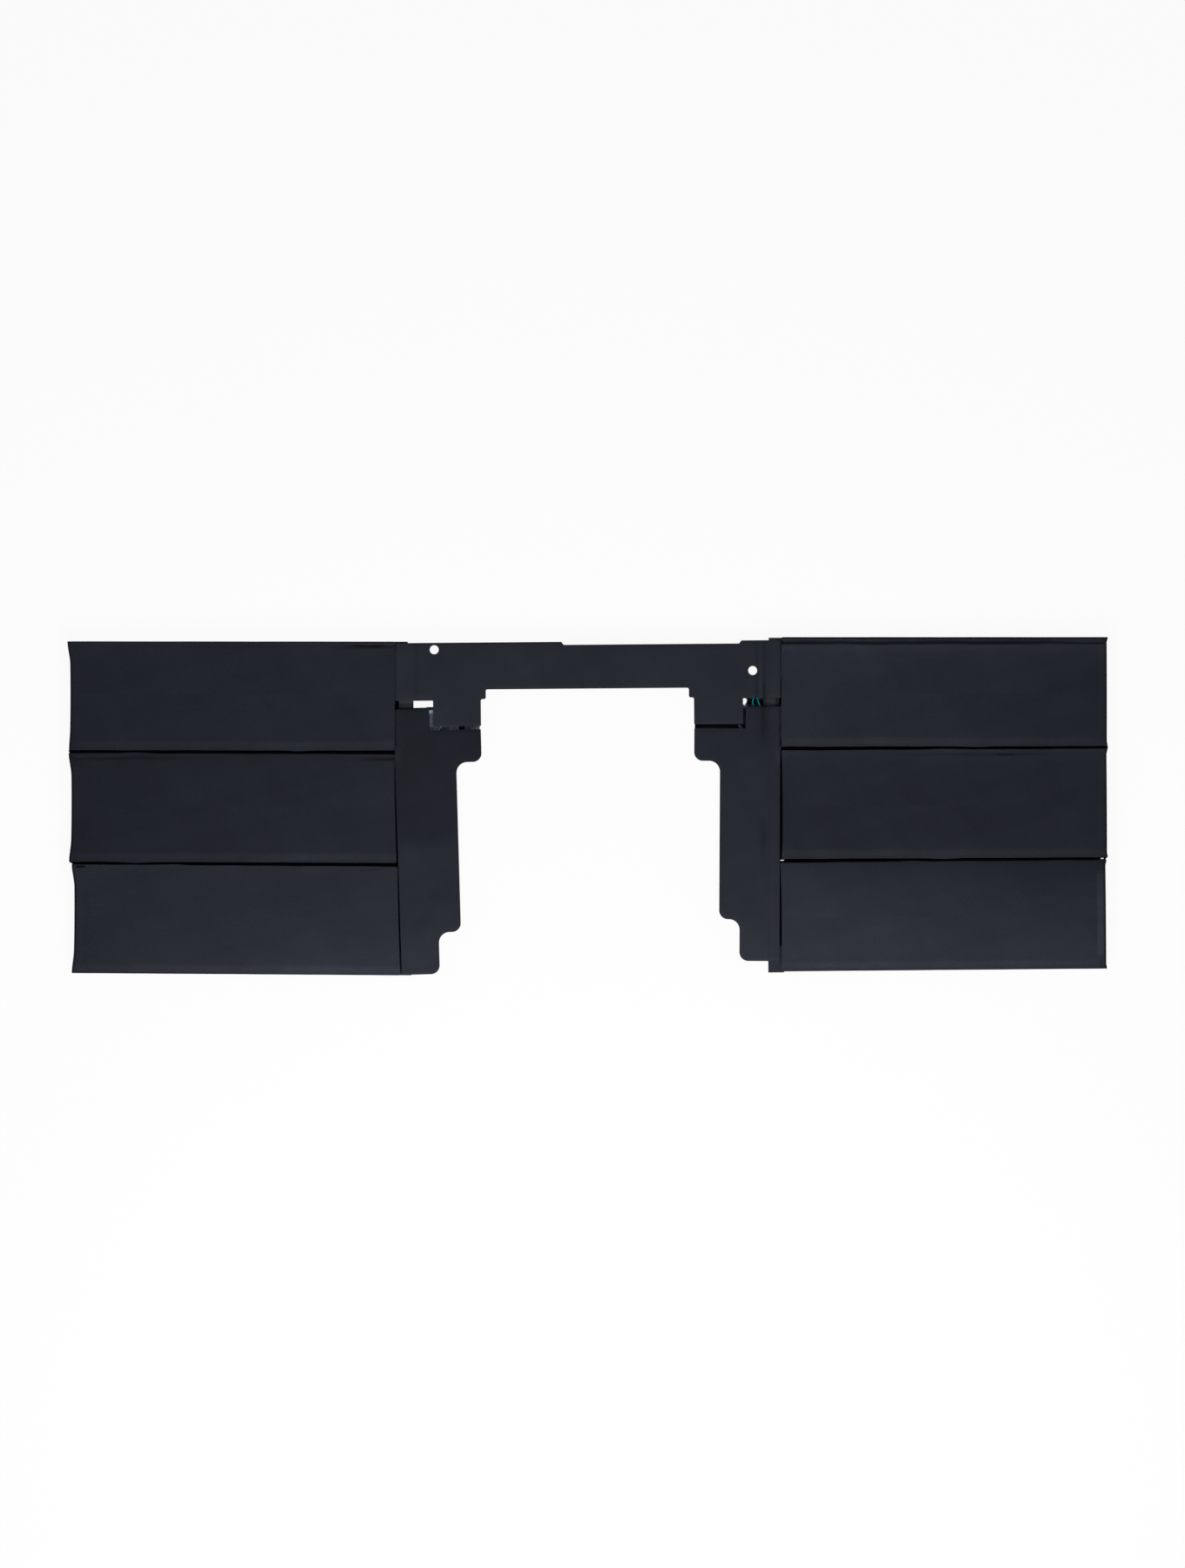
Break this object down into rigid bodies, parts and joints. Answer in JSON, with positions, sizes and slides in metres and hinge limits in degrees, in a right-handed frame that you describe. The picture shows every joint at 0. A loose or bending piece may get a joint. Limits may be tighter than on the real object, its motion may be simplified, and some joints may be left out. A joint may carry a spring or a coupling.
{
  "type": "laptop battery",
  "caption": "Slim internal laptop battery: banks of pouch cells on both sides of an open touchpad bay, joined by film-covered boards with locating holes.",
  "frame": {"origin": "centre of the pack's outline, on the table it lies on", "axes": "+X along the pack's width, +Y to its rear edge, where the bar is, +Z out of its pictured face"},
  "size_m": [0.2902, 0.0942, 0.0048],
  "materials": {
    "cell_pouch": "matte black pouch laminate",
    "gap_foam": "black foam",
    "cover_film": "matte black film",
    "back_film": "gloss black film",
    "clear_tape": "grey translucent tape",
    "black_tape": "gloss black tape",
    "circuit_board": "black solder mask",
    "link_ribbon": "black flexible ribbon",
    "aluminium_tab": "bare aluminium strip",
    "nickel_tab": "nickel strip",
    "weld_plate": "nickel plate",
    "chip_body": "moulded chip resin",
    "fuse_body": "pale fuse body",
    "shunt_metal": "resistance alloy",
    "thermistor_body": "dark ceramic",
    "formed_cover": "formed black film",
    "socket_housing": "moulded black housing",
    "socket_contact": "gold plated",
    "lead_insulation": "blue insulation"
  },
  "bodies": {
    "root": {"bar_back_film": "back_film", "bar_cover_film": "cover_film", "cell_left_front": "cell_pouch", "cell_left_middle": "cell_pouch", "cell_left_rear": "cell_pouch", "cell_right_front": "cell_pouch", "cell_right_middle": "cell_pouch", "cell_right_rear": "cell_pouch", "charge_switch": "chip_body", "circuit_cover": "formed_cover", "current_shunt": "shunt_metal", "discharge_switch": "chip_body", "gap_strip_left_front": "gap_foam", "gap_strip_left_rear": "gap_foam", "gap_strip_right_front": "gap_foam", "gap_strip_right_rear": "gap_foam", "gauge_chip": "chip_body", "inner_sense_lead": "lead_insulation", "left_back_film": "back_film", "left_bridge_tape": "clear_tape", "left_cover_film": "cover_film", "left_link_ribbon": "link_ribbon", "left_tab_board": "circuit_board", "negative_tab_left_front": "nickel_tab", "negative_tab_left_middle": "nickel_tab", "negative_tab_left_rear": "nickel_tab", "negative_tab_right_front": "nickel_tab", "negative_tab_right_middle": "nickel_tab", "negative_tab_right_rear": "nickel_tab", "negative_weld_plate_left_front": "weld_plate", "negative_weld_plate_left_middle": "weld_plate", "negative_weld_plate_left_rear": "weld_plate", "negative_weld_plate_right_front": "weld_plate", "negative_weld_plate_right_middle": "weld_plate", "negative_weld_plate_right_rear": "weld_plate", "outer_sense_lead": "lead_insulation", "output_socket": "socket_housing", "pack_fuse": "fuse_body", "positive_tab_left_front": "aluminium_tab", "positive_tab_left_middle": "aluminium_tab", "positive_tab_left_rear": "aluminium_tab", "positive_tab_right_front": "aluminium_tab", "positive_tab_right_middle": "aluminium_tab", "positive_tab_right_rear": "aluminium_tab", "positive_weld_plate_left_front": "weld_plate", "positive_weld_plate_left_middle": "weld_plate", "positive_weld_plate_left_rear": "weld_plate", "positive_weld_plate_right_front": "weld_plate", "positive_weld_plate_right_middle": "weld_plate", "positive_weld_plate_right_rear": "weld_plate", "protection_board": "circuit_board", "right_back_film": "back_film", "right_bridge_tape": "black_tape", "right_cover_film": "cover_film", "right_link_ribbon": "link_ribbon", "right_tab_board": "circuit_board", "socket_contacts": "socket_contact", "thermistor": "thermistor_body"}
  },
  "joints": []
}
